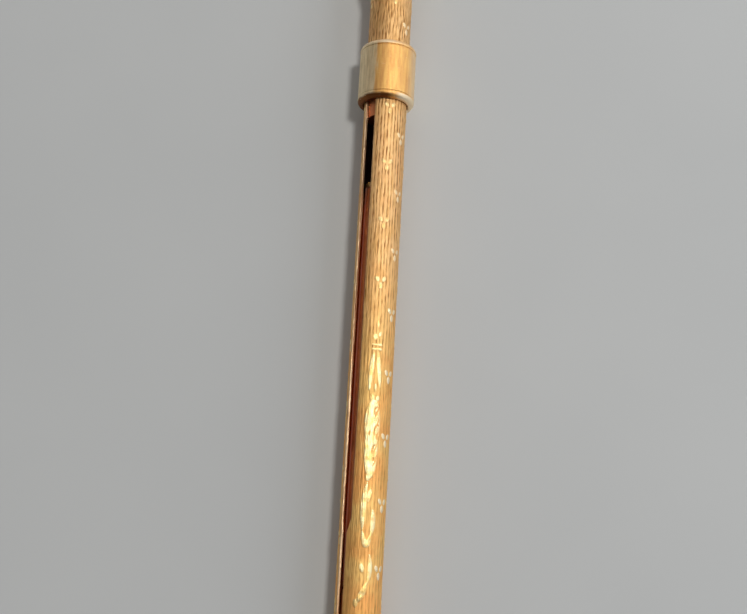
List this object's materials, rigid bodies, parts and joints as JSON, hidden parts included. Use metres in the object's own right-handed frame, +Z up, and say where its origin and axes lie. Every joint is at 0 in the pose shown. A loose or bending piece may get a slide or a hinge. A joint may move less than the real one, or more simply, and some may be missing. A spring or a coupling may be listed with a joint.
{
  "type": "slide pencil lead holder",
  "caption": "Slim engine-turned lead holder: a sliding ring in a long slot pushes the pencil out of the barrel, and its nozzle turns to feed the lead.",
  "frame": {"origin": "on the barrel's axis, at the face of the mouth", "axes": "+Y along the barrel towards the crown, the pencil leaves towards -Y, +Z up as it lies on a table, the slot up and to the left (-X)"},
  "size_m": [0.008, 0.1185, 0.0082],
  "materials": {
    "engine_turned_gold": "engine-turned, worn gold fill with tarnish in its lines",
    "polished_gold": "polished, softly worn",
    "worn_gilt": "satin from handling, pale at its rims",
    "bare_brass": "dull",
    "copper_brown": "oxidised copper alloy",
    "spring_steel": "bright drawn",
    "graphite": "dull graphite sheen",
    "leather_pad": "rough"
  },
  "bodies": {
    "barrel": {"barrel": "engine_turned_gold", "mouth_ferrule": "polished_gold", "mouth_bush": "bare_brass", "crown_socket": "polished_gold", "magazine_tube": "bare_brass", "spare_leads": "graphite"},
    "cap": {"crown_cap": "polished_gold", "cap_pad": "leather_pad", "bail_post": "polished_gold"},
    "bail": {"bail_ring": "polished_gold"},
    "slide": {"slide_ring": "worn_gilt", "ring_sleeve": "bare_brass", "slide_key": "copper_brown", "key_pins": "spring_steel", "key_saddle": "copper_brown", "friction_spring": "spring_steel", "carrier_tail": "copper_brown", "carrier_plug": "bare_brass", "carrier_tube": "copper_brown", "spiral_coil": "spring_steel", "spiral_collar": "bare_brass", "nozzle_bush": "polished_gold"},
    "nozzle": {"nozzle": "polished_gold", "nozzle_grip": "polished_gold", "lead_sleeve": "spring_steel", "lead_guide": "spring_steel", "drive_tube": "bare_brass", "nozzle_collar": "bare_brass"},
    "pusher": {"pusher_rod": "spring_steel", "driver": "bare_brass", "driver_pin": "spring_steel", "lead": "graphite"}
  },
  "joints": [
    {"name": "slide_travel", "type": "slide", "parent": "barrel", "child": "slide", "axis": [0, -1, 0], "range_m": [0, 0.074]},
    {"name": "nozzle_turn", "type": "hinge", "parent": "slide", "child": "nozzle", "pos_m": [0, 0.0136, 0], "axis": [0, -1, 0], "range_deg": [0, 2160]},
    {"name": "lead_feed", "type": "slide", "parent": "nozzle", "child": "pusher", "axis": [0, -1, 0], "range_m": [0, 0.018]},
    {"name": "cap_pull", "type": "slide", "parent": "barrel", "child": "cap", "axis": [0, 1, 0], "range_m": [0, 0.012]},
    {"name": "bail_swing", "type": "hinge", "parent": "cap", "child": "bail", "pos_m": [0, 0.1149, 0], "axis": [1, 0, 0], "range_deg": [-40, 140]}
  ],
  "couplings": [
    {"joint": "nozzle_turn", "follows": "lead_feed", "rad_per_m": 2094.4}
  ]
}
